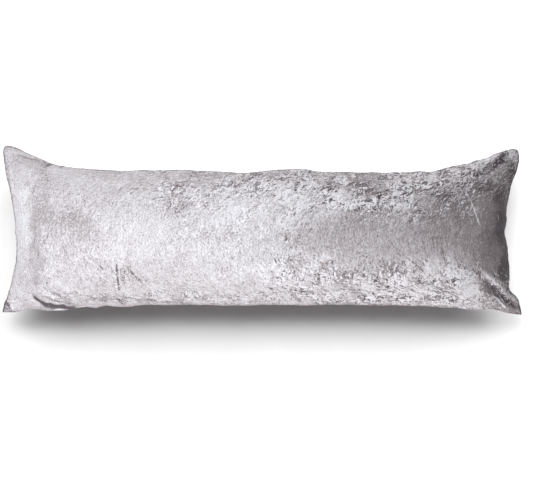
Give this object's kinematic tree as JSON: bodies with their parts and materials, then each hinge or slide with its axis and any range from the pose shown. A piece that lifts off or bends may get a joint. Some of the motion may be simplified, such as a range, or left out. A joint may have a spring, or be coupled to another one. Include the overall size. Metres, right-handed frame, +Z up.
{
  "type": "body pillow",
  "caption": "Long rectangular body pillow in silver grey crushed velvet, knife-edge seam all round, plump crown, sides drawn in between pointed corner ears, lying on its back.",
  "frame": {"origin": "on the resting plane, under the middle of the bounding box", "axes": "+X along the pillow's length, +Y across its width towards the edge that draws in more, +Z up out of the front panel's face"},
  "size_m": [1.3435, 0.4429, 0.2019],
  "materials": {
    "crushed_velvet": "crushed velvet, short pile pressed in patches, silver grey with a lilac cast"
  },
  "bodies": {
    "root": {"pillow_body": "crushed_velvet"}
  },
  "joints": []
}
